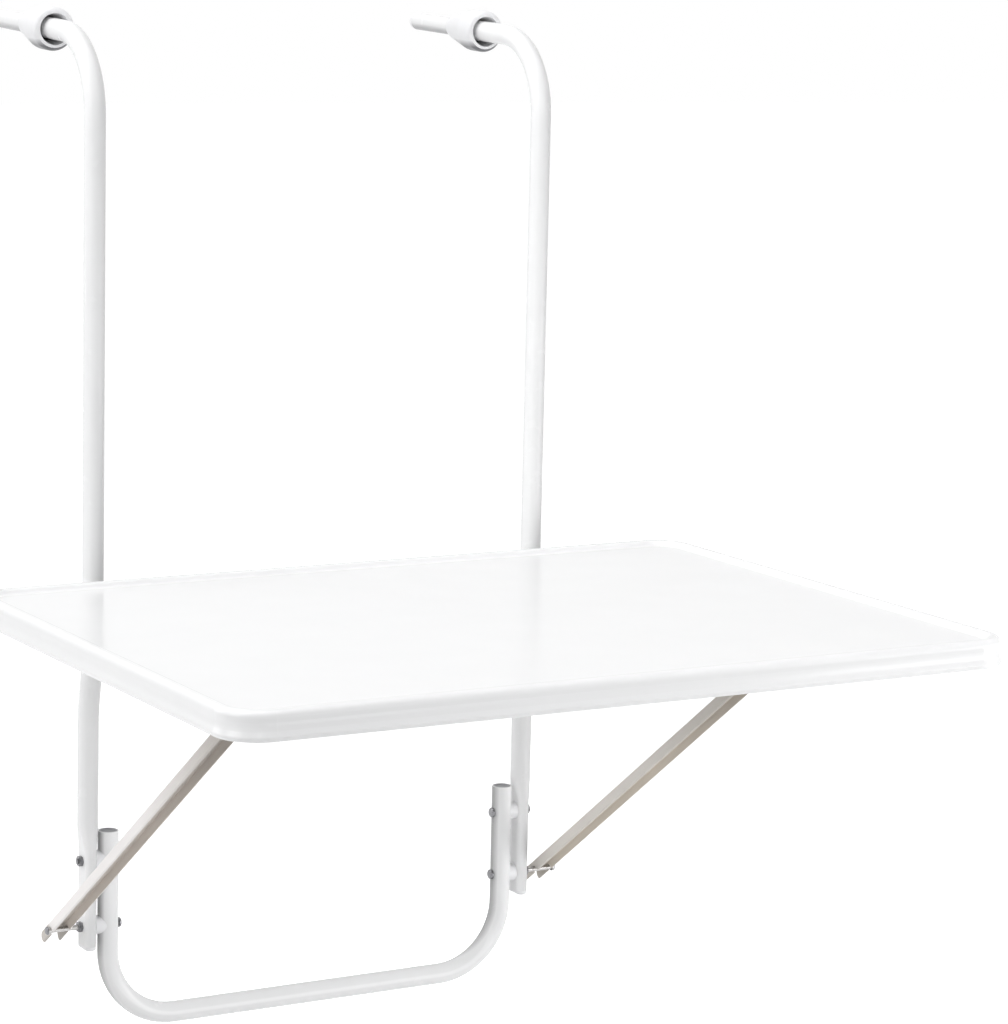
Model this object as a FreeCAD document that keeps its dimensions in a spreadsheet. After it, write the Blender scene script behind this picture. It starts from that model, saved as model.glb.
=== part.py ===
import FreeCAD, Part
import math
import os

import Sketcher

# Folding table that hangs on a balcony railing
# Two bent tubes hook over the handrail and a U-shaped tube braces them below. A moulded
# top hinges on the tubes and two pressed struts hold it level. Telescopic stops on the
# hook ends set the width of the handrail.
# Millimetres, +Z up, +X to the right of the person at the table, +Y out over the railing.
# The origin is the middle of the handrail seat, level with the underside of both hooks.

doc = FreeCAD.newDocument("balcony_bar_table")

# Driving dimensions
DIMENSIONS = (
    ("tube_d", 16.0, "hook tube, outer diameter"),
    ("tube_wall", 1.0, "wall of every tube"),
    ("upright_x", 187.5, "hook tube axis from the middle of the table"),
    ("upright_y", -46.0, "hook tube axis above the hinge"),
    ("joggle", 8.0, "step back of the hook tube below the hinge"),
    ("joggle_length", 44.0, "height over which the step is made"),
    ("joggle_bend", 80.0, "bend radius of the step"),
    ("hook_bend", 60.0, "bend radius of the hook, on the tube axis"),
    ("hook_tilt", 2.5, "rise of the hook's straight end, degrees"),
    ("hook_reach", 106.0, "end of the hook tube from its upright axis"),
    ("top_drop", 387.5, "rim of the table below the underside of the hooks"),
    ("foot_drop", 287.5, "lower end of the hook tubes below the rim"),
    ("flat_width", 9.4, "flattened foot of the hook tube, across"),
    ("flat_depth", 20.0, "flattened foot of the hook tube, front to back"),
    ("flat_drop", 195.0, "upper end of the flattening below the rim"),
    ("flat_run", 18.0, "height over which the tube flattens"),
    ("foot_lip", 3.5, "rounded lip of the foot plug"),
    ("brace_d", 16.0, "brace tube, outer diameter"),
    ("brace_x", 170.8, "brace leg axis from the middle of the table"),
    ("brace_top_drop", 200.5, "upper end of the brace legs below the rim"),
    ("brace_drop", 349.5, "brace crossbar axis below the rim"),
    ("brace_bend", 55.0, "bend radius of the brace, on the tube axis"),
    ("bolt_drop", 222.0, "upper frame bolt below the rim"),
    ("bolt_pitch", 51.0, "distance between the two frame bolts"),
    ("bolt_d", 4.0, "frame, hinge and pivot bolts"),
    ("bolt_play", 0.2, "play of a bolt in a tube wall"),
    ("pivot_play", 0.08, "running play of a turning joint, on the radius"),
    ("head_d", 8.0, "bolt head diameter"),
    ("head_height", 2.4, "bolt head height"),
    ("nut_flats", 7.0, "nut across flats"),
    ("nut_height", 3.2, "nut height"),
    ("thread_end", 1.0, "bolt end standing out of its nut"),
    ("push_cap_d", 6.4, "push cap on the end of a strut pin"),
    ("push_cap_height", 2.8, "height of the push cap"),
    ("push_cap_end", 0.8, "thickness of the push cap's end"),
    ("spacer_d", 14.0, "saddle spacer diameter"),
    ("top_width", 600.0, "table width"),
    ("top_depth", 450.0, "table depth"),
    ("top_corner", 30.0, "corner radius of the table in plan"),
    ("top_height", 20.0, "height of the table edge"),
    ("top_gap", 32.0, "table's rear edge in front of the upright axis"),
    ("rim_height", 4.0, "rim above the table surface"),
    ("rim_width", 15.0, "rim width"),
    ("skin", 4.0, "thickness of the table surface"),
    ("skirt", 3.6, "thickness of the table's skirt"),
    ("rib", 2.6, "thickness of the ribs under the table"),
    ("rib_height", 10.5, "height of the ribs under the table"),
    ("boss_d", 11.0, "screw boss diameter"),
    ("screw_d", 4.0, "screw shank diameter"),
    ("screw_depth", 10.5, "screw shank in its boss"),
    ("screw_head_d", 8.4, "screw head diameter"),
    ("screw_head_height", 2.6, "screw head height"),
    ("hinge_drop", 36.0, "hinge axis below the rim"),
    ("fork_sheet", 2.0, "sheet thickness of the hinge fork"),
    ("fork_play", 0.4, "gap between the hinge fork and its tube"),
    ("fork_length", 60.0, "length of the hinge fork's plate"),
    ("fork_eye", 10.0, "radius of the hinge fork round its bolt"),
    ("fork_screw_near", 20.0, "rear fork screw from the table's rear edge"),
    ("fork_screw_far", 52.0, "front fork screw from the table's rear edge"),
    ("strut_x", 210.0, "strut centre from the middle of the table"),
    ("strut_width", 15.0, "strut width"),
    ("strut_sheet", 1.5, "sheet thickness of the strut"),
    ("strut_back", 5.0, "strut web from the centre of the upper pin"),
    ("strut_front", 4.0, "strut's free edges from the centre of the upper pin"),
    ("strut_shift", 1.4, "lower pin closer to the free edges than the upper pin"),
    ("strut_toe", 21.0, "strut end beyond the lower pin"),
    ("strut_heel", 7.0, "strut end beyond the upper pin"),
    ("notch_play", 0.3, "play of the lower pin in the strut's notch"),
    ("notch_slope", 32.5, "slope of the notch's leaving side, degrees"),
    ("pivot_reach", 288.0, "upper pin in front of the table's rear edge"),
    ("pivot_drop", 34.4, "upper pin below the rim"),
    ("bracket_sheet", 1.5, "sheet thickness of the strut bracket"),
    ("bracket_play", 0.5, "gap between the strut and its bracket"),
    ("bracket_width", 52.0, "strut bracket plate width"),
    ("bracket_depth", 28.0, "strut bracket plate depth"),
    ("bracket_screw", 19.6, "bracket screw from the strut centre"),
    ("collar_rim", 37.0, "open end of a rail stop in its middle place"),
    ("collar_shift", 7.0, "right stop drawn out, left stop pushed in, as shown"),
    ("collar_d", 33.0, "rail stop, outer diameter"),
    ("collar_length", 18.0, "straight part of the rail stop"),
    ("collar_cone", 33.0, "tapered part of the rail stop"),
    ("collar_mouth", 11.7, "radius of the rail stop's mouth"),
    ("collar_bore", 9.2, "radius inside the rail stop"),
    ("collar_floor", 39.5, "depth inside the rail stop"),
    ("rod_wall", 1.2, "wall of the stop rod"),
    ("rod_start", 32.0, "inner end of the stop rod in its middle place"),
    ("rod_tip", 158.0, "rounded tip of the stop rod in its middle place"),
    ("cap_length", 7.0, "visible length of the rod's end cap"),
    ("plug_length", 10.0, "length of a tube plug inside its tube"),
)

SIDES = (("left", -1.0), ("right", 1.0))


class Size:
    """A number that also knows the spreadsheet expression it comes from."""

    def __init__(self, number, text=None):
        self.number = float(number)
        self.text = repr(float(number)) if text is None else text

    def __add__(self, other):
        other = as_size(other)
        return Size(self.number + other.number, f"({self.text} + {other.text})")

    def __sub__(self, other):
        other = as_size(other)
        return Size(self.number - other.number, f"({self.text} - {other.text})")

    def __mul__(self, other):
        other = as_size(other)
        return Size(self.number * other.number, f"({self.text} * {other.text})")

    def __truediv__(self, other):
        other = as_size(other)
        return Size(self.number / other.number, f"({self.text} / {other.text})")

    def __radd__(self, other):
        return as_size(other) + self

    def __rsub__(self, other):
        return as_size(other) - self

    def __rmul__(self, other):
        return as_size(other) * self

    def __neg__(self):
        return Size(-self.number, f"(0 - {self.text})")


def as_size(value):
    return value if isinstance(value, Size) else Size(value)


def root(size):
    return Size(math.sqrt(size.number), f"sqrt({size.text})")


def tangent_of(degrees):
    return Size(math.tan(math.radians(degrees.number)), f"tan({degrees.text} * 1 deg)")


def slope_angle(rise, run):
    """Angle in degrees, as an expression with its unit."""
    angle = math.degrees(math.atan(rise.number / run.number))
    return Size(angle, f"atan({rise.text} / {run.text})")


def in_degrees(size):
    """The same number as an expression with its unit."""
    return Size(size.number, f"{size.text} * 1 deg")


class Table:
    """The driving dimensions by name."""


def make_sheet():
    sheet = doc.addObject("Spreadsheet::Sheet", "Dims")
    sizes = Table()
    for row, (alias, number, meaning) in enumerate(DIMENSIONS, start=1):
        sheet.set(f"A{row}", meaning)
        sheet.set(f"B{row}", str(number))
        sheet.setAlias(f"B{row}", alias)
        setattr(sizes, alias, Size(number, f"Dims.{alias}"))
    return sizes


d = make_sheet()
doc.recompute()

# Places worked out from the driving dimensions
tube_r = d.tube_d / 2
bore_r = tube_r - d.tube_wall
brace_r = d.brace_d / 2
bolt_r = d.bolt_d / 2
rim_z = -d.top_drop
edge_z = rim_z - d.top_height
surface_z = rim_z - d.rim_height
under_z = surface_z - d.skin
hook_slope = tangent_of(d.hook_tilt)
hook_z = tube_r * root(1 + hook_slope * hook_slope)
lower_y = d.upright_y + d.joggle
rear_y = d.upright_y - d.top_gap
middle_y = rear_y - d.top_depth / 2
front_y = rear_y - d.top_depth
hinge_z = rim_z - d.hinge_drop
foot_z = rim_z - d.foot_drop
flat_top_z = rim_z - d.flat_drop
flat_end_z = flat_top_z - d.flat_run
flat_x = d.flat_width / 2
flat_y = d.flat_depth / 2
upper_bolt_z = rim_z - d.bolt_drop
pin_z = upper_bolt_z - d.bolt_pitch
brace_top_z = rim_z - d.brace_top_drop
brace_z = rim_z - d.brace_drop
tube_end_y = d.upright_y + d.hook_reach
pivot_y = rear_y - d.pivot_reach
pivot_z = rim_z - d.pivot_drop
strut_run = lower_y - pivot_y
strut_rise = pivot_z - pin_z
strut_square = strut_run * strut_run + strut_rise * strut_rise
strut_length = root(strut_square - d.strut_shift * d.strut_shift)
pin_slope = slope_angle(strut_rise, strut_run)
strut_turn = Size(180, "180 deg") - pin_slope + slope_angle(d.strut_shift, strut_length)
rod_r = bore_r - d.pivot_play
collar_step = d.collar_rim + d.collar_length
collar_end = collar_step + d.collar_cone
floor_y = d.collar_rim + d.collar_floor
cap_start = d.rod_tip - d.cap_length
nut_x = d.upright_x + flat_x
fork_half = tube_r + d.fork_play + d.fork_sheet
bracket_half = d.strut_width / 2 + d.bracket_play + d.bracket_sheet


# Building helpers

def new_body(label):
    body = doc.addObject("PartDesign::Body", label)
    body.Label = label
    return body


def origin_feature(body, role):
    for feature in body.Origin.OriginFeatures:
        if feature.Role == role:
            return feature
    raise ValueError(role)


def new_sketch(body, plane, offset=0, across=0, up=0, turn=None):
    """Sketch parallel to an origin plane, its own origin moved by across and up."""
    sketch = body.newObject("Sketcher::SketchObject", f"{body.Label}_sketch")
    sketch.AttachmentSupport = [(origin_feature(body, plane), "")]
    sketch.MapMode = "FlatFace"
    across, up, offset = as_size(across), as_size(up), as_size(offset)
    degrees = turn.number if turn else 0
    spin = FreeCAD.Rotation(FreeCAD.Vector(0, 0, 1), degrees)
    place = FreeCAD.Vector(across.number, up.number, offset.number)
    sketch.AttachmentOffset = FreeCAD.Placement(place, spin)
    for axis, size in (("x", across), ("y", up), ("z", offset)):
        sketch.setExpression(f"AttachmentOffset.Base.{axis}", size.text)
    if turn:
        sketch.setExpression("AttachmentOffset.Rotation.Angle", turn.text)
    return sketch


def bind(sketch, kind, size, *places):
    """Add a dimension and bind it to its expression."""
    size = as_size(size)
    index = sketch.addConstraint(Sketcher.Constraint(kind, *places, size.number))
    sketch.setExpression(f"Constraints[{index}]", size.text)


def pin_point(sketch, geometry, point, x, y):
    bind(sketch, "DistanceX", x, -1, 1, geometry, point)
    bind(sketch, "DistanceY", y, -1, 1, geometry, point)


def flat(point):
    return FreeCAD.Vector(as_size(point[0]).number, as_size(point[1]).number, 0)


def corner_arc(before, corner, after, radius):
    """Arc that rounds a corner: entry point, exit point, centre and turning sense."""
    inward = (corner - before).normalize()
    outward = (after - corner).normalize()
    cross = inward.x * outward.y - inward.y * outward.x
    turn = math.atan2(cross, inward.dot(outward))
    reach = radius * math.tan(abs(turn) / 2)
    entry = corner - inward * reach
    leave = corner + outward * reach
    sense = 1 if turn > 0 else -1
    normal = FreeCAD.Vector(-inward.y, inward.x, 0) * sense
    return entry, leave, entry + normal * radius, sense


def add_arc(sketch, entry, leave, centre, radius, sense):
    start, stop = (entry, leave) if sense > 0 else (leave, entry)
    first = math.atan2(start.y - centre.y, start.x - centre.x)
    last = math.atan2(stop.y - centre.y, stop.x - centre.x)
    circle = Part.Circle(centre, FreeCAD.Vector(0, 0, 1), radius)
    return sketch.addGeometry(Part.ArcOfCircle(circle, first, last))


def outline(sketch, points, closed=True):
    """Lines through the points, each (x, y) sharp or (x, y, radius) rounded."""
    count = len(points)
    corners = [flat(point) for point in points]
    last = count if closed else count - 1
    rounded = {}
    for index, point in enumerate(points):
        if len(point) == 3:
            before = corners[index - 1]
            after = corners[(index + 1) % count]
            radius = as_size(point[2]).number
            rounded[index] = corner_arc(before, corners[index], after, radius)
    lines = []
    for index in range(last):
        following = (index + 1) % count
        start = rounded[index][1] if index in rounded else corners[index]
        end = rounded[following][0] if following in rounded else corners[following]
        lines.append(sketch.addGeometry(Part.LineSegment(start, end)))
    for index, point in enumerate(points):
        if index in rounded:
            entry, leave, centre, sense = rounded[index]
            radius = as_size(point[2])
            arc = add_arc(sketch, entry, leave, centre, radius.number, sense)
            near, far = (1, 2) if sense > 0 else (2, 1)
            into, out = lines[index - 1], lines[index]
            mark = sketch.addGeometry(Part.Point(corners[index]), True)
            pin_point(sketch, mark, 1, point[0], point[1])
            sketch.addConstraint(Sketcher.Constraint("PointOnObject", mark, 1, into))
            sketch.addConstraint(Sketcher.Constraint("PointOnObject", mark, 1, out))
            sketch.addConstraint(Sketcher.Constraint("Tangent", into, 2, arc, near))
            sketch.addConstraint(Sketcher.Constraint("Tangent", arc, far, out, 1))
            bind(sketch, "Radius", radius, arc)
        elif closed or 0 < index < count - 1:
            into, out = lines[index - 1], lines[index]
            sketch.addConstraint(Sketcher.Constraint("Coincident", into, 2, out, 1))
            pin_point(sketch, out, 1, point[0], point[1])
    if not closed:
        pin_point(sketch, lines[0], 1, points[0][0], points[0][1])
        pin_point(sketch, lines[-1], 2, points[-1][0], points[-1][1])
    return sketch


def circles(sketch, *rounds):
    """Circles, each given as (x, y, radius)."""
    for x, y, radius in rounds:
        centre = flat((x, y))
        circle = Part.Circle(centre, FreeCAD.Vector(0, 0, 1), as_size(radius).number)
        index = sketch.addGeometry(circle)
        pin_point(sketch, index, 3, x, y)
        bind(sketch, "Radius", radius, index)
    return sketch


def oval(sketch, half_x, half_y):
    """Rectangle with round ends; with equal halves it is all but a circle."""
    small = half_x if half_x.number < half_y.number else half_y
    radius = small * 0.98
    return outline(sketch, (
        (-half_x, -half_y, radius), (half_x, -half_y, radius),
        (half_x, half_y, radius), (-half_x, half_y, radius),
    ))


def box_outline(x_low, x_high, y_low, y_high):
    return ((x_low, y_low), (x_high, y_low), (x_high, y_high), (x_low, y_high))


def extrude(body, kind, sketch, length, symmetric=False, down=False):
    feature = body.newObject(f"PartDesign::{kind}", f"{body.Label}_{kind.lower()}")
    feature.Profile = sketch
    feature.SideType = "Symmetric" if symmetric else "One side"
    feature.Reversed = down
    feature.Length = as_size(length).number
    feature.setExpression("Length", as_size(length).text)
    body.Tip = feature
    doc.recompute()
    return feature


def pad(body, sketch, length, symmetric=False, down=False):
    return extrude(body, "Pad", sketch, length, symmetric, down)


def cut(body, sketch, length):
    """Pocket to both sides of its sketch, checked to remove material."""
    before = body.Shape.Volume
    feature = extrude(body, "Pocket", sketch, length, symmetric=True)
    if body.Shape.Volume > before - 1e-3:
        raise RuntimeError(f"a pocket of {body.Label} removes nothing")
    return feature


def turned(body, axis, across, up, offset, points):
    """Solid of revolution about a line along X or Z, its profile as an outline."""
    plane, line = {
        "X": ("XY_Plane", "H_Axis"),
        "Z": ("XZ_Plane", "V_Axis"),
    }[axis]
    return revolve(body, outline(new_sketch(body, plane, offset, across, up), points), line)


def revolve(body, sketch, line):
    feature = body.newObject("PartDesign::Revolution", f"{body.Label}_turned")
    feature.Profile = sketch
    feature.ReferenceAxis = (sketch, [line])
    feature.Angle = 360
    body.Tip = feature
    doc.recompute()
    return feature


def turned_on_hook(body, side, points):
    """Solid of revolution about the rising end of a hook, its profile as (along, radius)."""
    tilt = in_degrees(d.hook_tilt)
    along = side * d.collar_shift
    up = hook_z + along * hook_slope
    sketch = new_sketch(body, "YZ_Plane", side * d.upright_x, along, up, tilt)
    return revolve(body, outline(sketch, points), "H_Axis")


def lofted(body, first, last):
    feature = body.newObject("PartDesign::AdditiveLoft", f"{body.Label}_loft")
    feature.Profile = first
    feature.Sections = [last]
    feature.Ruled = True
    body.Tip = feature
    doc.recompute()
    return feature


def swept(body, profile, path):
    feature = body.newObject("PartDesign::AdditivePipe", f"{body.Label}_pipe")
    feature.Profile = profile
    feature.Spine = path
    body.Tip = feature
    doc.recompute()
    return feature


def mirrored(body, features):
    feature = body.newObject("PartDesign::Mirrored", f"{body.Label}_mirrored")
    feature.Originals = features
    feature.MirrorPlane = (origin_feature(body, "YZ_Plane"), [""])
    body.Tip = feature
    doc.recompute()
    return feature


def row(body, features, axis, length, count):
    feature = body.newObject("PartDesign::LinearPattern", f"{body.Label}_row")
    feature.Originals = features
    feature.Direction = (origin_feature(body, axis), [""])
    feature.Length = length.number
    feature.setExpression("Length", length.text)
    feature.Occurrences = count
    body.Tip = feature
    doc.recompute()
    return feature


def fillet(body, chosen, radius):
    """Round the edges of the body that the test picks."""
    base = body.Tip
    names = []
    for number, edge in enumerate(base.Shape.Edges, start=1):
        if chosen(edge):
            names.append(f"Edge{number}")
    if not names:
        raise RuntimeError(f"no edge of {body.Label} to round")
    feature = body.newObject("PartDesign::Fillet", f"{body.Label}_fillet")
    feature.Base = (base, names)
    feature.Radius = radius
    body.Tip = feature
    doc.recompute()
    return feature


# Frame

def make_upright(name, side):
    """Hook tube: flattened foot, step behind the table, upright, hook and rising end."""
    body = new_body(f"upright_{name}")
    x = side * d.upright_x
    step_top = hinge_z - d.hinge_drop * 0.8
    step_foot = step_top - d.joggle_length
    path = outline(new_sketch(body, "YZ_Plane", x), (
        (lower_y, flat_top_z),
        (lower_y, step_foot, d.joggle_bend),
        (d.upright_y, step_top, d.joggle_bend),
        (d.upright_y, hook_z + d.upright_y * hook_slope, d.hook_bend),
        (tube_end_y, hook_z + tube_end_y * hook_slope),
    ), closed=False)
    profile = circles(
        new_sketch(body, "XY_Plane", flat_top_z, x, lower_y),
        (0, 0, tube_r), (0, 0, bore_r),
    )
    swept(body, profile, path)
    sections = []
    for z, half_x, half_y in ((flat_top_z, tube_r, tube_r), (flat_end_z, flat_x, flat_y)):
        section = oval(new_sketch(body, "XY_Plane", z, x, lower_y), half_x, half_y)
        oval(section, half_x - d.tube_wall, half_y - d.tube_wall)
        sections.append(section)
    lofted(body, *sections)
    foot = oval(new_sketch(body, "XY_Plane", flat_end_z, x, lower_y), flat_x, flat_y)
    oval(foot, flat_x - d.tube_wall, flat_y - d.tube_wall)
    pad(body, foot, flat_end_z - foot_z, down=True)
    hole_r = bolt_r + d.bolt_play
    holes = circles(
        new_sketch(body, "YZ_Plane", x),
        (lower_y, upper_bolt_z, hole_r),
        (lower_y, pin_z, hole_r),
        (d.upright_y, hinge_z, hole_r),
    )
    cut(body, holes, d.tube_d * 1.5)


def make_brace():
    """U-shaped tube between the lower ends of the hook tubes."""
    body = new_body("brace_bar")
    path = outline(new_sketch(body, "XZ_Plane", -lower_y), (
        (-d.brace_x, brace_top_z),
        (-d.brace_x, brace_z, d.brace_bend),
        (d.brace_x, brace_z, d.brace_bend),
        (d.brace_x, brace_top_z),
    ), closed=False)
    profile = circles(
        new_sketch(body, "XY_Plane", brace_top_z, -d.brace_x, lower_y),
        (0, 0, brace_r), (0, 0, brace_r - d.tube_wall),
    )
    swept(body, profile, path)
    hole_r = bolt_r + d.bolt_play
    holes = circles(
        new_sketch(body, "YZ_Plane"),
        (lower_y, upper_bolt_z, hole_r),
        (lower_y, pin_z, hole_r),
    )
    cut(body, holes, (d.brace_x + d.brace_d) * 2)


def make_upright_plug(name, side):
    """Plug with a rounded lip in the flattened foot of a hook tube."""
    body = new_body(f"upright_plug_{name}")
    x = side * d.upright_x
    lip = oval(new_sketch(body, "XY_Plane", foot_z, x, lower_y), flat_x, flat_y)
    pad(body, lip, d.foot_lip, down=True)
    low = (foot_z - d.foot_lip).number
    fillet(body, lambda edge: abs(edge.BoundBox.ZMax - low) < 1e-4, 2.6)
    core = oval(
        new_sketch(body, "XY_Plane", foot_z, x, lower_y),
        flat_x - d.tube_wall, flat_y - d.tube_wall,
    )
    pad(body, core, d.plug_length)


def make_brace_plug(name, side):
    """Dished plug, flush in the upper end of a brace leg."""
    body = new_body(f"brace_plug_{name}")
    plug_r = brace_r - d.tube_wall
    dish = d.tube_wall
    turned(body, "Z", side * d.brace_x, 0, -lower_y, (
        (0, brace_top_z - d.plug_length),
        (plug_r, brace_top_z - d.plug_length),
        (plug_r, brace_top_z),
        (plug_r - dish, brace_top_z),
        (plug_r - dish * 2, brace_top_z - dish),
        (0, brace_top_z - dish),
    ))


def make_frame_spacers():
    """Four bushes against the flattened feet, hollowed to sit on the brace legs."""
    body = new_body("frame_spacers")
    face_x = d.upright_x - flat_x
    spacer_r = d.spacer_d / 2
    hole_r = bolt_r + d.bolt_play
    rings = circles(
        new_sketch(body, "YZ_Plane", face_x),
        (lower_y, upper_bolt_z, spacer_r), (lower_y, upper_bolt_z, hole_r),
        (lower_y, pin_z, spacer_r), (lower_y, pin_z, hole_r),
    )
    blanks = pad(body, rings, face_x - d.brace_x - brace_r / 4, down=True)
    saddles = circles(
        new_sketch(body, "XY_Plane", (upper_bolt_z + pin_z) / 2),
        (d.brace_x, lower_y, brace_r),
    )
    hollows = cut(body, saddles, d.bolt_pitch * 2)
    mirrored(body, [blanks, hollows])


def bolt_profile(head_x, seat_x, end_x):
    """Domed head from head_x to seat_x, then the shank to end_x."""
    return (
        (head_x, 0),
        (head_x, d.head_d / 2, d.head_height * 0.75),
        (seat_x, d.head_d / 2),
        (seat_x, bolt_r),
        (end_x, bolt_r),
        (end_x, 0),
    )


def make_bolts(label, y, z, head_x, seat_x, end_x):
    """A bolt along X on the right side and its mirror image."""
    body = new_body(label)
    shape = turned(body, "X", 0, y, z, bolt_profile(head_x, seat_x, end_x))
    mirrored(body, [shape])


def hexagon(sketch, y, z, flats):
    half = flats / 2
    tip = flats / math.sqrt(3)
    points = (
        (y + tip, z), (y + tip / 2, z + half), (y - tip / 2, z + half),
        (y - tip, z), (y - tip / 2, z - half), (y + tip / 2, z - half),
    )
    return outline(sketch, points)


def make_nuts(label, places, start_x):
    """Hexagon nuts along X on the right side, and their mirror images."""
    body = new_body(label)
    features = []
    for y, z in places:
        face = hexagon(new_sketch(body, "YZ_Plane", start_x), y, z, d.nut_flats)
        circles(face, (y, z, bolt_r))
        features.append(pad(body, face, d.nut_height))
    mirrored(body, features)


def make_pin_caps():
    """Push caps on the outer ends of the strut pins."""
    body = new_body("pin_caps")
    cap_r = d.push_cap_d / 2
    cap_end_x = pin_shoulder_x + d.push_cap_height
    cap = turned(body, "X", 0, lower_y, pin_z, (
        (pin_shoulder_x, bolt_r),
        (pin_shoulder_x, cap_r),
        (cap_end_x, cap_r, 1.5),
        (cap_end_x, 0),
        (pin_end_x, 0),
        (pin_end_x, bolt_r),
    ))
    mirrored(body, [cap])


# Table top and its fittings

def rim_profile(body):
    """Section of the raised rim and the skirt below it, at the middle of the front edge."""
    sketch = new_sketch(body, "YZ_Plane", 0, front_y, rim_z)
    outline(sketch, (
        (d.rim_width, -d.rim_height),
        (11.6, -d.rim_height, 3.0),
        (9.2, 0, 3.0),
        (0.5, 0, 4.5),
        (1.9, -10.5, 14.0),
        (0, -17.2, 2.2),
        (1.4, -d.top_height, 1.2),
        (d.skirt, -d.top_height),
        (d.skirt + 0.9, -4.6, 2.0),
        (9.4, -4.2, 2.5),
        (12.6, -(d.rim_height + d.skin), 1.5),
        (d.rim_width, -(d.rim_height + d.skin)),
    ))
    return sketch


def rounded_plan(half_width, low_y, high_y, corner):
    """Rounded rectangle that starts at the middle of its front side."""
    return (
        (0, low_y),
        (half_width, low_y, corner),
        (half_width, high_y, corner),
        (-half_width, high_y, corner),
        (-half_width, low_y, corner),
    )


def make_tabletop():
    """Moulded top: swept rim and skirt, flat surface, ribs and screw bosses."""
    body = new_body("tabletop")
    half = d.top_width / 2
    path = outline(
        new_sketch(body, "XY_Plane", rim_z),
        rounded_plan(half, front_y, rear_y, d.top_corner),
    )
    swept(body, rim_profile(body), path)

    inset = d.rim_width - 0.5
    surface = outline(
        new_sketch(body, "XY_Plane", under_z),
        rounded_plan(half - inset, front_y + inset, rear_y - inset, d.top_corner - inset),
    )
    pad(body, surface, d.skin)

    long_rib_y = front_y + d.top_depth / 8
    long_rib = outline(new_sketch(body, "XY_Plane", under_z), box_outline(
        4 - half, half - 4, long_rib_y - d.rib / 2, long_rib_y + d.rib / 2,
    ))
    first = pad(body, long_rib, d.rib_height, down=True)
    row(body, [first], "Y_Axis", d.top_depth * 0.75, 7)

    cross_rib_x = d.top_width / 10 - half
    cross_rib = outline(new_sketch(body, "XY_Plane", under_z), box_outline(
        cross_rib_x - d.rib / 2, cross_rib_x + d.rib / 2, front_y + 4, rear_y - 4,
    ))
    first = pad(body, cross_rib, d.rib_height, down=True)
    row(body, [first], "X_Axis", d.top_width * 0.8, 9)

    boss_r = d.boss_d / 2
    boss_height = d.top_height - d.rim_height - d.skin
    for _, side in SIDES:
        places = (
            (side * d.upright_x, rear_y - d.fork_screw_near),
            (side * d.upright_x, rear_y - d.fork_screw_far),
            (side * (d.strut_x - d.bracket_screw), pivot_y),
            (side * (d.strut_x + d.bracket_screw), pivot_y),
        )
        solid = circles(
            new_sketch(body, "XY_Plane", under_z),
            *[(x, y, boss_r) for x, y in places],
        )
        pad(body, solid, boss_height, down=True)
        pilots = circles(
            new_sketch(body, "XY_Plane", edge_z),
            *[(x, y, d.screw_d / 2) for x, y in places],
        )
        cut(body, pilots, d.screw_depth * 2)


def make_hinge_fork(name, side):
    """Pressed fork: plate under the top, two ears on both sides of the hook tube."""
    body = new_body(f"hinge_fork_{name}")
    x = side * d.upright_x
    far_y = rear_y - d.fork_length - 4
    near_y = rear_y - 4
    eye_low = hinge_z - d.fork_eye
    eye_high = hinge_z + d.fork_eye
    eye_back = d.upright_y + d.fork_eye
    side_view = outline(new_sketch(body, "YZ_Plane", x), (
        (far_y, edge_z),
        (far_y, edge_z - 8, 4),
        (d.upright_y - 14, eye_low, 14),
        (eye_back, eye_low, d.fork_eye * 0.98),
        (eye_back, eye_high, d.fork_eye * 0.98),
        (rear_y + 8, eye_high, 6),
        (near_y, edge_z),
    ))
    pad(body, side_view, fork_half * 2, symmetric=True)
    plate_low = edge_z - d.fork_sheet
    inside = outline(new_sketch(body, "YZ_Plane", x), box_outline(
        far_y - 10, eye_back + 10, eye_low - 10, plate_low,
    ))
    cut(body, inside, (tube_r + d.fork_play) * 2)
    fillet(body, lambda edge: is_long_edge(edge, edge_z.number, x.number), d.fork_sheet.number)
    eye = circles(
        new_sketch(body, "YZ_Plane", x),
        (d.upright_y, hinge_z, bolt_r + d.pivot_play),
    )
    cut(body, eye, fork_half * 3)
    screws = circles(
        new_sketch(body, "XY_Plane", edge_z),
        (x, rear_y - d.fork_screw_near, d.screw_d / 2 + d.bolt_play),
        (x, rear_y - d.fork_screw_far, d.screw_d / 2 + d.bolt_play),
    )
    cut(body, screws, d.fork_sheet * 3)


def is_long_edge(edge, z, x):
    """Edges along Y at height z, on the two outer sides of a fork centred on x."""
    box = edge.BoundBox
    level = abs(box.ZMin - z) < 1e-4 and abs(box.ZMax - z) < 1e-4
    along = box.XLength < 1e-4 and box.YLength > 20
    outer = abs(abs(box.XMin - x) - fork_half.number) < 1e-3
    return level and along and outer


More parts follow.
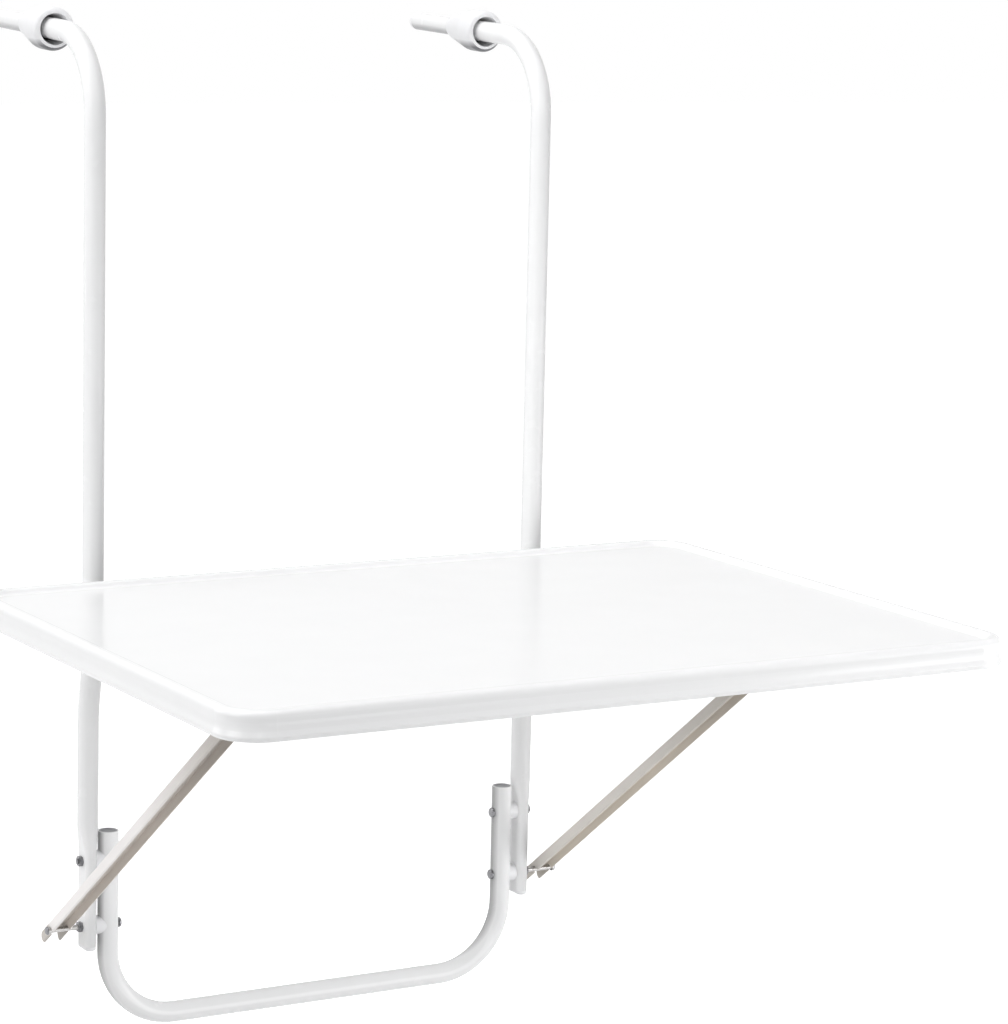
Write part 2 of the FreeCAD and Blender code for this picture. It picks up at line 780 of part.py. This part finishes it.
def make_strut_bracket(name, side):
    """Plate screwed under the top, with two ears that carry the strut's upper pin."""
    body = new_body(f"strut_bracket_{name}")
    x = side * d.strut_x
    half_width = d.bracket_width / 2
    half_depth = d.bracket_depth / 2
    plate = outline(new_sketch(body, "XY_Plane", edge_z), (
        (x - half_width, pivot_y - half_depth, 6),
        (x + half_width, pivot_y - half_depth, 6),
        (x + half_width, pivot_y + half_depth, 6),
        (x - half_width, pivot_y + half_depth, 6),
    ))
    pad(body, plate, d.bracket_sheet, down=True)
    ear_foot = pivot_z - 8
    ears = outline(new_sketch(body, "YZ_Plane", x), (
        (pivot_y - 12, edge_z - d.bracket_sheet / 2),
        (pivot_y - 9, ear_foot, 7.5),
        (pivot_y + 9, ear_foot, 7.5),
        (pivot_y + 12, edge_z - d.bracket_sheet / 2),
    ))
    pad(body, ears, bracket_half * 2, symmetric=True)
    inside = outline(new_sketch(body, "YZ_Plane", x), box_outline(
        pivot_y - 20, pivot_y + 20, ear_foot - 10, edge_z - d.bracket_sheet,
    ))
    cut(body, inside, d.strut_width + d.bracket_play * 2)
    eye = circles(new_sketch(body, "YZ_Plane", x), (pivot_y, pivot_z, bolt_r))
    cut(body, eye, bracket_half * 3)
    screws = circles(
        new_sketch(body, "XY_Plane", edge_z),
        (x - d.bracket_screw, pivot_y, d.screw_d / 2 + d.bolt_play),
        (x + d.bracket_screw, pivot_y, d.screw_d / 2 + d.bolt_play),
    )
    cut(body, screws, d.bracket_sheet * 3)


def make_screws(label, places, seat_z):
    """Pan-head screws driven up into the bosses, and their mirror images."""
    body = new_body(label)
    features = []
    for x, y in places:
        features.append(turned(body, "Z", x, 0, -y, (
            (0, seat_z - d.screw_head_height),
            (d.screw_head_d / 2, seat_z - d.screw_head_height, d.screw_head_height * 0.7),
            (d.screw_head_d / 2, seat_z),
            (d.screw_d / 2, seat_z),
            (d.screw_d / 2, edge_z + d.screw_depth),
            (0, edge_z + d.screw_depth),
        )))
    mirrored(body, features)


# Struts

def make_strut(name, side):
    """Pressed channel, open to the front, with a notch that hooks over the lower pin.

    The sketches lie along the strut: their origin is the lower pin, x runs towards the
    upper pin and y to the open side.
    """
    body = new_body(f"strut_{name}")
    x = side * d.strut_x

    def side_sketch():
        return new_sketch(body, "YZ_Plane", x, lower_y, pin_z, strut_turn)

    web_y = -(d.strut_shift + d.strut_back)
    edge_y = d.strut_front - d.strut_shift
    bar = outline(side_sketch(), (
        (-d.strut_toe, web_y, 5.0),
        (strut_length + d.strut_heel, web_y, 4.8),
        (strut_length + d.strut_heel, edge_y, 3.8),
        (-d.strut_toe, edge_y, 3.6),
    ))
    pad(body, bar, d.strut_width, symmetric=True)
    fillet(body, is_web_edge, d.strut_sheet.number)
    inside = outline(side_sketch(), box_outline(
        -d.strut_toe * 2, strut_length + d.strut_toe * 2,
        web_y + d.strut_sheet, d.strut_front * 2,
    ))
    cut(body, inside, d.strut_width - d.strut_sheet * 2)
    seat_r = bolt_r + d.notch_play
    lip_x = -seat_r
    load_x = seat_r + d.notch_play
    mouth = d.strut_front
    notch = outline(side_sketch(), (
        (lip_x, -seat_r, seat_r * 0.96),
        (load_x, -seat_r, seat_r * 0.96),
        (load_x, 0),
        (load_x + mouth * tangent_of(d.notch_slope), mouth),
        (lip_x, mouth),
    ))
    cut(body, notch, d.strut_width * 2)
    eye = circles(side_sketch(), (strut_length, -d.strut_shift, bolt_r + d.pivot_play))
    cut(body, eye, d.strut_width * 2)


def is_web_edge(edge):
    """The two long edges of a strut on the side of its web, which face up and back."""
    box = edge.BoundBox
    if edge.Length < strut_length.number * 0.9:
        return False
    middle_y = (box.YMin + box.YMax) / 2
    middle_z = (box.ZMin + box.ZMax) / 2
    line_z = pin_z.number + (lower_y.number - middle_y) * strut_rise.number / strut_run.number
    return middle_z > line_z


# Rail stops

def make_rail_collar(name, side):
    """Bell that slides over the hook's end, with a taper down to the stop rod."""
    body = new_body(f"rail_collar_{name}")
    outer = d.collar_d / 2
    turned_on_hook(body, side, (
        (d.collar_rim, d.collar_mouth, 0.6),
        (d.collar_rim, outer, 4),
        (collar_step, outer, 16),
        (collar_end, rod_r + 2, 1.2),
        (collar_end, rod_r),
        (floor_y, rod_r),
        (floor_y, d.collar_bore),
        (d.collar_rim + 14, d.collar_bore, 6),
    ))


def make_stop_rod(name, side):
    body = new_body(f"stop_rod_{name}")
    turned_on_hook(body, side, (
        (d.rod_start, rod_r - d.rod_wall),
        (d.rod_start, rod_r),
        (cap_start, rod_r),
        (cap_start, rod_r - d.rod_wall),
    ))


def make_rod_cap(name, side):
    body = new_body(f"rod_cap_{name}")
    inner = rod_r - d.rod_wall
    turned_on_hook(body, side, (
        (cap_start - d.plug_length, 0),
        (cap_start - d.plug_length, inner),
        (cap_start, inner),
        (cap_start, rod_r),
        (d.rod_tip, rod_r, rod_r * 0.85),
        (d.rod_tip, 0),
    ))


# Assembly

pin_shoulder_x = d.strut_x + d.strut_width / 2 + 0.8
pin_end_x = pin_shoulder_x + d.push_cap_height - d.push_cap_end
brace_inner_x = d.brace_x - brace_r
hinge_head_x = d.upright_x + fork_half + d.bolt_play
hinge_nut_x = d.upright_x - fork_half - d.bolt_play - d.nut_height
pivot_head_x = d.strut_x + bracket_half
pivot_nut_x = d.strut_x - bracket_half - d.nut_height

for side_name, side_sign in SIDES:
    make_upright(side_name, side_sign)
    make_upright_plug(side_name, side_sign)
    make_brace_plug(side_name, side_sign)
    make_hinge_fork(side_name, side_sign)
    make_strut_bracket(side_name, side_sign)
    make_strut(side_name, side_sign)
    make_rail_collar(side_name, side_sign)
    make_stop_rod(side_name, side_sign)
    make_rod_cap(side_name, side_sign)

make_brace()
make_frame_spacers()
make_tabletop()
make_pin_caps()
make_bolts("frame_bolts", lower_y, upper_bolt_z,
           brace_inner_x - d.head_height, brace_inner_x, nut_x + d.nut_height + d.thread_end)
make_bolts("strut_pins", lower_y, pin_z,
           brace_inner_x - d.head_height, brace_inner_x, pin_end_x)
make_bolts("hinge_bolts", d.upright_y, hinge_z,
           hinge_head_x + d.head_height * 0.85, hinge_head_x, hinge_nut_x - d.thread_end)
make_bolts("pivot_bolts", pivot_y, pivot_z,
           pivot_head_x + d.head_height, pivot_head_x, pivot_nut_x - d.thread_end)
make_nuts("frame_nuts", ((lower_y, upper_bolt_z), (lower_y, pin_z)), nut_x)
make_nuts("hinge_nuts", ((d.upright_y, hinge_z),), hinge_nut_x)
make_nuts("pivot_nuts", ((pivot_y, pivot_z),), pivot_nut_x)
make_screws("hinge_screws", (
    (d.upright_x, rear_y - d.fork_screw_near),
    (d.upright_x, rear_y - d.fork_screw_far),
), edge_z - d.fork_sheet)
make_screws("bracket_screws", (
    (d.strut_x - d.bracket_screw, pivot_y),
    (d.strut_x + d.bracket_screw, pivot_y),
), edge_z - d.bracket_sheet)

doc.recompute()

# Checks and export

for item in doc.Objects:
    if "Invalid" in item.State or "Error" in item.State:
        raise RuntimeError(f"{item.Label} failed: {item.State}")

bodies = [item for item in doc.Objects if item.TypeId == "PartDesign::Body"]
for body in bodies:
    shape = body.Shape
    if shape.isNull() or not shape.isValid() or not shape.Solids:
        raise RuntimeError(f"{body.Label} has no valid solid")

os.makedirs("parts", exist_ok=True)
for body in bodies:
    body.Shape.exportStep(f"parts/{body.Label}.step")
print(f"{len(bodies)} parts written")
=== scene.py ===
import math

import bpy
from mathutils import Matrix, Vector

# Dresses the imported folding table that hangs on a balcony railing: a procedural material
# for each of its nodes, a pale studio and the photograph's camera. It adds no pieces.
# Metres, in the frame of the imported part: +Z up, +Y out over the railing.

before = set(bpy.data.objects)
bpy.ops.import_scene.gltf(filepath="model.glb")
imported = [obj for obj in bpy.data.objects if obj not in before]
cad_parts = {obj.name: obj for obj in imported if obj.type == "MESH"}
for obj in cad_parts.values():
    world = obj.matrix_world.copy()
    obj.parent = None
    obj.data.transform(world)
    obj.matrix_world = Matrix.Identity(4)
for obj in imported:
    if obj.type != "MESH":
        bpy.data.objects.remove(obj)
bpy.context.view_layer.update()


def grey(level):
    return (level, level, level)


def tint(colour, factor):
    return tuple(part * factor for part in colour)


def side_measure(direction, zero):
    """Factors of Y and Z and a constant, for the distance along a direction from a point."""
    return (*direction, -direction[0] * zero[0] - direction[1] * zero[1])


# The photograph's camera, as fitted to it
PHOTO_LONG_SIDE = 1024
FOCAL_PIXELS = 3476.6
SENSOR_MM = 36.0
CAMERA_PLACE = Vector((-1.1860, -2.3977, 0.0754))
CAMERA_YAW = math.radians(29.93)
CAMERA_PITCH = math.radians(8.74)
CAMERA_ROLL = math.radians(1.31)
CAMERA_SHIFT = (-0.0065, -0.0274)
CAMERA_REACH = 100

# Studio: a floor below the brace, and an even light from all around
FLOOR_Z = -1.05
FLOOR_SIZE = 40.0
FLOOR_COLOUR = grey(0.8)
FLOOR_GLOW = 0.78
WORLD_COLOUR = (0.97, 0.98, 1.0)
WORLD_STRENGTH = 0.32

# Level directions, as X and Y: the tubes darken with painted shade towards these sides
PHOTO_RIGHT = (math.cos(CAMERA_YAW), -math.sin(CAMERA_YAW))
PHOTO_LEFT = (-PHOTO_RIGHT[0], -PHOTO_RIGHT[1])

# The struts: their middle planes, and in side view their slope and lower pin
STRUT_X = 0.210
STRUT_SLOPE = math.radians(35.84)
STRUT_PIN = (-0.038, -0.6605)
STRUT_OPEN_SIDE = side_measure((-math.sin(STRUT_SLOPE), -math.cos(STRUT_SLOPE)), STRUT_PIN)
STRUT_UPWARDS = side_measure((-math.cos(STRUT_SLOPE), math.sin(STRUT_SLOPE)), STRUT_PIN)

# Their hollow: within half its width of the middle plane, and past the web's inner side
HOLLOW_HALF_WIDTH = 0.0066
HOLLOW_START = -0.0053

# Distances up from the pin between which a strut darkens, with painted shadow towards the top
# and painted shade at the toe
UPPER_SHADOW_FADE = (0.20, 0.37)
TOE_SHADE_FADE = (0.002, -0.003)

# Downwards from the middle line of the hooks' rising ends, whose underside passes the origin;
# painted shade below is measured along it
HOOK_RISE = math.radians(2.5)
HOOK_RADIUS = 0.008
HOOK_DOWN = (math.sin(HOOK_RISE), -math.cos(HOOK_RISE), HOOK_RADIUS)

# Noise mostly stays between these values, which are spread over a whole range of tones
NOISE_SPAN = (0.3, 0.7)
NOISE_DETAIL = 3.0

# Sizes of the patches of tone and of gloss in enamel, and of its orange peel
ENAMEL_TONES = 0.05
ENAMEL_GLOSS = 0.012
ORANGE_PEEL = 0.0016

# Faces whose normal's Y is below this look to the front and keep out of the painted shade below
FRONT_FACING = -0.9


# Camera

def add_camera():
    """Camera of the photograph: yaw from +Y towards +X, pitch downwards, then roll."""
    forward = Vector((
        math.sin(CAMERA_YAW) * math.cos(CAMERA_PITCH),
        math.cos(CAMERA_YAW) * math.cos(CAMERA_PITCH),
        -math.sin(CAMERA_PITCH),
    ))
    level = Vector((*PHOTO_RIGHT, 0))
    upright = level.cross(forward)
    right = level * math.cos(CAMERA_ROLL) + upright * math.sin(CAMERA_ROLL)
    up = upright * math.cos(CAMERA_ROLL) - level * math.sin(CAMERA_ROLL)
    data = bpy.data.cameras.new("photo_camera")
    data.sensor_width = SENSOR_MM
    data.lens = FOCAL_PIXELS * SENSOR_MM / PHOTO_LONG_SIDE
    data.shift_x, data.shift_y = CAMERA_SHIFT
    data.clip_end = CAMERA_REACH
    camera = bpy.data.objects.new("photo_camera", data)
    turn = Matrix((right, up, -forward)).transposed()
    camera.matrix_world = Matrix.Translation(CAMERA_PLACE) @ turn.to_4x4()
    bpy.context.scene.collection.objects.link(camera)
    bpy.context.scene.camera = camera


# Light and surroundings

def add_lamp(name, watts, size, place, target, spread=180):
    """Soft rectangular lamp; a spread under 180 degrees keeps its light together."""
    data = bpy.data.lights.new(name, "AREA")
    data.shape = "RECTANGLE"
    data.size, data.size_y = size
    data.energy = watts
    data.spread = math.radians(spread)
    lamp = bpy.data.objects.new(name, data)
    aim = Vector(target) - Vector(place)
    lamp.location = place
    lamp.rotation_euler = aim.to_track_quat("-Z", "Y").to_euler()
    bpy.context.scene.collection.objects.link(lamp)


def seen_directly(nodes, links):
    """1 for camera, glossy and transmission rays, and 0 for the others."""
    path = nodes.new("ShaderNodeLightPath")
    seen = path.outputs["Is Camera Ray"]
    for ray in ("Is Glossy Ray", "Is Transmission Ray"):
        either = nodes.new("ShaderNodeMath")
        either.operation = "MAXIMUM"
        links.new(seen, either.inputs[0])
        links.new(path.outputs[ray], either.inputs[1])
        seen = either.outputs[0]
    return seen


def add_background(nodes, colour, strength):
    background = nodes.new("ShaderNodeBackground")
    background.inputs["Color"].default_value = (*colour, 1)
    background.inputs["Strength"].default_value = strength
    return background.outputs[0]


def set_world():
    """White where it is seen, and a weaker, even light on the object."""
    world = bpy.data.worlds.new("studio")
    world.use_nodes = True
    nodes, links = world.node_tree.nodes, world.node_tree.links
    nodes.clear()
    mix = nodes.new("ShaderNodeMixShader")
    output = nodes.new("ShaderNodeOutputWorld")
    links.new(seen_directly(nodes, links), mix.inputs["Fac"])
    links.new(add_background(nodes, WORLD_COLOUR, WORLD_STRENGTH), mix.inputs[1])
    links.new(add_background(nodes, grey(1), 1.0), mix.inputs[2])
    links.new(mix.outputs[0], output.inputs["Surface"])
    bpy.context.scene.world = world


def floor_paint():
    """Matt paint that glows where it is seen, so that only the shadow stays darker."""
    material = bpy.data.materials.new("floor_paint")
    material.use_nodes = True
    nodes, links = material.node_tree.nodes, material.node_tree.links
    nodes.clear()
    matt = nodes.new("ShaderNodeBsdfDiffuse")
    matt.inputs["Color"].default_value = (*FLOOR_COLOUR, 1)
    glow = nodes.new("ShaderNodeEmission")
    strength = nodes.new("ShaderNodeMath")
    strength.operation = "MULTIPLY"
    strength.inputs[1].default_value = FLOOR_GLOW
    both = nodes.new("ShaderNodeAddShader")
    output = nodes.new("ShaderNodeOutputMaterial")
    links.new(seen_directly(nodes, links), strength.inputs[0])
    links.new(strength.outputs[0], glow.inputs["Strength"])
    links.new(matt.outputs[0], both.inputs[0])
    links.new(glow.outputs[0], both.inputs[1])
    links.new(both.outputs[0], output.inputs["Surface"])
    return material


def add_floor():
    half = FLOOR_SIZE / 2
    mesh = bpy.data.meshes.new("floor")
    corners = [(-half, -half, 0), (half, -half, 0), (half, half, 0), (-half, half, 0)]
    mesh.from_pydata(corners, [], [(0, 1, 2, 3)])
    mesh.materials.append(floor_paint())
    floor = bpy.data.objects.new("floor", mesh)
    floor.location = (0, 0, FLOOR_Z)
    bpy.context.scene.collection.objects.link(floor)


# Materials

class Surface:
    """A procedural material on a principled shader, in object coordinates (metres).

    Every node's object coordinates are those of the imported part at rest.
    """

    def __init__(self, name, roughness, gloss=0.5, metallic=0.0):
        self.material = bpy.data.materials.new(name)
        self.material.use_nodes = True
        self.nodes = self.material.node_tree.nodes
        self.links = self.material.node_tree.links
        self.shader = self.nodes["Principled BSDF"]
        self.shader.inputs["Roughness"].default_value = roughness
        self.shader.inputs["Specular IOR Level"].default_value = gloss
        self.shader.inputs["Metallic"].default_value = metallic
        coordinates = self.nodes.new("ShaderNodeTexCoord")
        self.place = coordinates.outputs["Object"]
        self.facing = coordinates.outputs["Normal"]
        self.roughness = roughness
        self.normal = None

    # Numbers

    def calculate(self, operation, *inputs):
        """Result of a Math node on numbers and number sources."""
        node = self.nodes.new("ShaderNodeMath")
        node.operation = operation
        for socket, value in zip(node.inputs, inputs):
            if isinstance(value, (int, float)):
                socket.default_value = value
            else:
                self.links.new(value, socket)
        return node.outputs[0]

    def remap(self, source, start, end, low=0.0, high=1.0):
        """Source from start to end becomes a number from low to high, and no further."""
        span = self.nodes.new("ShaderNodeMapRange")
        span.inputs["From Min"].default_value = start
        span.inputs["From Max"].default_value = end
        span.inputs["To Min"].default_value = low
        span.inputs["To Max"].default_value = high
        self.links.new(source, span.inputs["Value"])
        return span.outputs["Result"]

    def noise(self, size, detail=NOISE_DETAIL, stretch=(1, 1, 1)):
        """Noise with features about size metres across."""
        mapping = self.nodes.new("ShaderNodeMapping")
        mapping.inputs["Scale"].default_value = stretch
        noise = self.nodes.new("ShaderNodeTexNoise")
        noise.inputs["Scale"].default_value = 1 / size
        noise.inputs["Detail"].default_value = detail
        self.links.new(self.place, mapping.inputs["Vector"])
        self.links.new(mapping.outputs[0], noise.inputs["Vector"])
        return noise.outputs["Fac"]

    def axis(self, name, vector=None):
        """One object coordinate in metres, or one axis of another vector."""
        split = self.nodes.new("ShaderNodeSeparateXYZ")
        self.links.new(vector or self.place, split.inputs[0])
        return split.outputs[name]

    def off_middle(self):
        """Distance from the plane midway between the left and the right side."""
        return self.calculate("ABSOLUTE", self.axis("X"))

    def along(self, measure):
        """Distance in side view, by the factors of Y and Z and the constant of a measure."""
        y_factor, z_factor, constant = measure
        first = self.calculate("MULTIPLY_ADD", self.axis("Y"), y_factor, constant)
        return self.calculate("MULTIPLY_ADD", self.axis("Z"), z_factor, first)

    def turned_to(self, direction):
        """How far faces look to a level direction: 1 is straight to it, -1 straight away."""
        x_part = self.calculate("MULTIPLY", self.axis("X", self.facing), direction[0])
        y_normal = self.axis("Y", self.facing)
        return self.calculate("MULTIPLY_ADD", y_normal, direction[1], x_part)

    # Colours

    def patchy(self, colour, size, darkest):
        """Patches of about that size, from the colour down to a share of it."""
        ramp = self.nodes.new("ShaderNodeValToRGB")
        for stop, position, share in zip(ramp.color_ramp.elements, NOISE_SPAN, (darkest, 1)):
            stop.position = position
            stop.color = (*tint(colour, share), 1)
        self.links.new(self.noise(size), ramp.inputs["Fac"])
        return ramp.outputs["Color"]

    def toned(self, colour):
        """Patchy colour of a stretch painted darker or paler than the rest, as painted shade and
        painted highlights.
        """
        return self.patchy(colour, ENAMEL_TONES, darkest=0.97)

    def blend(self, factor, first, second):
        """First colour at factor 0, and second at factor 1."""
        mix = self.nodes.new("ShaderNodeMixRGB")
        self.links.new(factor, mix.inputs["Fac"])
        self.links.new(first, mix.inputs["Color1"])
        self.links.new(second, mix.inputs["Color2"])
        return mix.outputs["Color"]

    def shade_below(self, tone, colour, start, end):
        """Tone that turns into a colour of painted shade between two depths below the hook's
        middle line.

        Faces that look to the front keep their tone.
        """
        low = self.remap(self.along(HOOK_DOWN), start, end)
        not_front = self.calculate("GREATER_THAN", self.axis("Y", self.facing), FRONT_FACING)
        factor = self.calculate("MULTIPLY", low, not_front)
        return self.blend(factor, tone, self.toned(colour))

    def shade_aside(self, tone, colour, start, end, direction):
        """Tone that turns into a colour of painted shade where faces turn towards a level
        direction.
        """
        return self.blend(
            self.remap(self.turned_to(direction), start, end), tone, self.toned(colour),
        )

    def painted_highlight_below(self, tone, colour, slope, near, far, heights):
        """Tone that is a painted highlight colour where the normal's Z is near slope, below two
        fading heights.
        """
        z_normal = self.axis("Z", self.facing)
        off_slope = self.calculate("ABSOLUTE", self.calculate("SUBTRACT", z_normal, slope))
        beside = self.remap(off_slope, near, far)
        above = self.remap(self.axis("Z"), *heights)
        return self.blend(
            self.calculate("MAXIMUM", beside, above), self.toned(colour), tone,
        )

    # Finish

    def paint(self, tone):
        self.links.new(tone, self.shader.inputs["Base Color"])

    def vary_roughness(self, size, below, above):
        """Roughness that wanders round its value in patches of about that size."""
        rough = self.remap(
            self.noise(size), *NOISE_SPAN, self.roughness - below, self.roughness + above,
        )
        self.links.new(rough, self.shader.inputs["Roughness"])

    def bump(self, source, depth):
        """Relief of that depth in metres, on top of any earlier relief."""
        bump = self.nodes.new("ShaderNodeBump")
        bump.inputs["Distance"].default_value = depth
        self.links.new(source, bump.inputs["Height"])
        if self.normal:
            self.links.new(self.normal, bump.inputs["Normal"])
        self.normal = bump.outputs["Normal"]
        self.links.new(self.normal, self.shader.inputs["Normal"])


def enamel(name, colour, roughness, gloss, under=None, aside=None, line=None):
    """Powder coat on steel: a fine orange peel, slightly uneven in gloss and tone.

    Under, aside and line are what shade_below, shade_aside and painted_highlight_below take:
    painted shade below, painted shade aside and a painted highlight line.
    """
    surface = Surface(name, roughness, gloss)
    tone = surface.patchy(colour, ENAMEL_TONES, darkest=0.99)
    if line:
        tone = surface.painted_highlight_below(tone, **line)
    if under:
        tone = surface.shade_below(tone, **under)
    if aside:
        tone = surface.shade_aside(tone, **aside)
    surface.paint(tone)
    surface.vary_roughness(ENAMEL_GLOSS, below=0.03, above=0.04)
    surface.bump(surface.noise(ORANGE_PEEL, detail=1.0), depth=0.00001)
    surface.bump(surface.noise(size=0.00045, detail=0.0), depth=0.000002)
    return surface.material


def channel(name, outside, inside, ends):
    """Enamel of a strut: one colour outside, one in the hollow and one at both ends, where it
    darkens as painted shadow and shade.
    """
    surface = Surface(name, roughness=0.36, gloss=0.2)
    off_plane = surface.calculate(
        "ABSOLUTE", surface.calculate("SUBTRACT", surface.off_middle(), STRUT_X),
    )
    in_width = surface.calculate("LESS_THAN", off_plane, HOLLOW_HALF_WIDTH)
    in_depth = surface.calculate(
        "GREATER_THAN", surface.along(STRUT_OPEN_SIDE), HOLLOW_START,
    )
    upwards = surface.along(STRUT_UPWARDS)
    painted_end_shade = surface.calculate(
        "MAXIMUM", surface.remap(upwards, *UPPER_SHADOW_FADE), surface.remap(upwards, *TOE_SHADE_FADE),
    )
    middle = surface.blend(
        surface.calculate("MULTIPLY", in_width, in_depth),
        surface.patchy(outside, ENAMEL_TONES, darkest=0.985),
        surface.toned(inside),
    )
    surface.paint(surface.blend(painted_end_shade, middle, surface.toned(ends)))
    surface.vary_roughness(ENAMEL_GLOSS, below=0.03, above=0.05)
    surface.bump(surface.noise(ORANGE_PEEL, detail=0.0), depth=0.000006)
    return surface.material


def resin(name, colour, roughness, grain, under=None):
    """Moulded plastic: even colour, a faint grain and slow changes of gloss.

    Under is what shade_below takes: a painted shade below.
    """
    surface = Surface(name, roughness)
    tone = surface.patchy(colour, size=0.09, darkest=0.993)
    if under:
        tone = surface.shade_below(tone, **under)
    surface.paint(tone)
    surface.vary_roughness(size=0.05, below=0.01, above=0.02)
    surface.bump(surface.noise(size=0.0009, detail=2.0), depth=grain)
    surface.bump(surface.noise(size=0.06, detail=1.0), depth=0.00003)
    return surface.material


def zinc(name, colour, bright=None, bright_from=0.0, bright_to=0.0):
    """Dull plated steel with fine turning marks, bright between two distances off the middle."""
    surface = Surface(name, roughness=0.3, metallic=1.0)
    patch = 0.003
    tone = surface.patchy(colour, patch, darkest=0.8)
    if bright:
        off_middle = surface.off_middle()
        between = surface.calculate(
            "MULTIPLY",
            surface.calculate("GREATER_THAN", off_middle, bright_from),
            surface.calculate("LESS_THAN", off_middle, bright_to),
        )
        tone = surface.blend(between, tone, surface.patchy(bright, patch, darkest=0.9))
    surface.paint(tone)
    surface.vary_roughness(size=0.0012, below=0.1, above=0.1)
    surface.bump(surface.noise(size=0.0006, stretch=(6, 1, 1)), depth=0.00003)
    return surface.material


def dress(nodes, material):
    """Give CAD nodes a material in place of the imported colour."""
    for name in nodes:
        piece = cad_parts[name]
        piece.data.materials.clear()
        piece.data.materials.append(material)
        for polygon in piece.data.polygons:
            polygon.material_index = 0


def both_sides(*names):
    return [f"{name}_{side}" for name in names for side in ("left", "right")]


# Studio

bpy.context.scene.view_settings.view_transform = "Standard"
add_camera()
set_world()
add_floor()
add_lamp(
    "softbox_above", watts=41, size=(2.6, 2.2),
    place=(-0.3, -0.5, 2.2), target=(0, -0.2, -0.4),
)
add_lamp(
    "softbox_left", watts=25, size=(1.8, 1.8),
    place=(-3.0, -0.9, 0.9), target=(0, -0.1, -0.3),
)
add_lamp(
    "softbox_corner", watts=10, size=(1.2, 1.2),
    place=(-1.7, -1.1, 2.0), target=(0, -0.1, -0.2),
)
add_lamp(
    "softbox_rear", watts=11.5, size=(1.2, 1.6),
    place=(-1.9, 1.2, 0.4), target=(0, -0.05, -0.3),
)
add_lamp(
    "softbox_right", watts=6, size=(0.7, 0.7),
    place=(1.3, -1.0, -0.55), target=(0.3, -0.3, -0.5),
)
add_lamp(
    "softbox_low", watts=0.45, size=(0.9, 0.9),
    place=(1.3, -1.5, -0.65), target=(0.1, -0.2, -0.65), spread=34,
)
add_lamp(
    "softbox_front", watts=0.27, size=(0.6, 0.6),
    place=(-0.6, -2.6, 0.5), target=(0.32, -0.2, -0.25), spread=24,
)
add_lamp(
    "softbox_foot", watts=2.4, size=(1.4, 0.2),
    place=(0.3, -2.4, -0.92), target=(0, -0.1, -0.65),
)

# Tubes

# Painted shade: the uprights darken where their faces turn to the right
dress(both_sides("upright"), enamel(
    "upright_enamel", grey(0.935), roughness=0.24, gloss=0.25,
    aside={"colour": grey(0.73), "start": -0.25, "end": 0.80, "direction": PHOTO_RIGHT},
))
dress(["brace_bar"], enamel(
    "brace_enamel", grey(0.89), roughness=0.24, gloss=0.25,
    # Painted shade: the brace darkens where its faces turn to the left
    aside={"colour": grey(0.40), "start": 0.22, "end": 0.84, "direction": PHOTO_LEFT},
    # Painted highlight: a pale line along the crossbar's front, low down
    line={
        "colour": grey(0.99), "slope": 0.12, "near": 0.08, "far": 0.26,
        "heights": (-0.725, -0.700),
    },
))
# Painted shade: the rods darken on their undersides
dress(both_sides("stop_rod"), enamel(
    "rod_enamel", grey(0.87), roughness=0.24, gloss=0.25,
    under={"colour": (0.42, 0.42, 0.43), "start": 0.0010, "end": 0.0050},
))

# Pressed steel

dress(both_sides("strut_bracket", "hinge_fork"), enamel(
    "strut_enamel", (0.68, 0.65, 0.61), roughness=0.36, gloss=0.5,
))
# Left strut: a pale outside painted as if lit, a darker hollow as painted shade, and darker ends
# as painted shadow
dress(["strut_left"], channel(
    "left_channel",
    outside=(0.95, 0.92, 0.90), inside=(0.75, 0.70, 0.65), ends=(0.58, 0.54, 0.50),
))
# Right strut: a darker outside painted as shade, a shaded copy of the left strut, and darker
# ends as painted shadow
dress(["strut_right"], channel(
    "right_channel",
    outside=(0.78, 0.74, 0.69), inside=(0.80, 0.75, 0.68), ends=(0.60, 0.56, 0.51),
))

# Mouldings

dress(["tabletop"], resin("white_resin", grey(0.90), roughness=0.16, grain=0.000004))
# Painted shade: the collars turn dark on their undersides, below the hooks' middle line
dress(both_sides("rail_collar"), resin(
    "bell_resin", (0.86, 0.86, 0.87), roughness=0.35, grain=0.00001,
    under={"colour": (0.17, 0.17, 0.18), "start": 0.0072, "end": 0.0126},
))
dress(both_sides("rod_cap", "upright_plug") + ["frame_spacers"], resin(
    "stop_resin", (0.86, 0.86, 0.87), roughness=0.35, grain=0.00001,
))
dress(both_sides("brace_plug"), resin(
    "plug_resin", (0.30, 0.30, 0.31), roughness=0.5, grain=0.00002,
))

# Fasteners

dress([
    "frame_bolts", "frame_nuts", "hinge_bolts", "hinge_nuts",
    "hinge_screws", "bracket_screws", "pivot_bolts", "pivot_nuts",
], zinc("zinc_steel", (0.26, 0.26, 0.27)))
dress(["strut_pins", "pin_caps"], zinc(
    "pin_zinc", (0.22, 0.22, 0.23),
    bright=(0.45, 0.44, 0.43), bright_from=0.18, bright_to=0.2195,
))
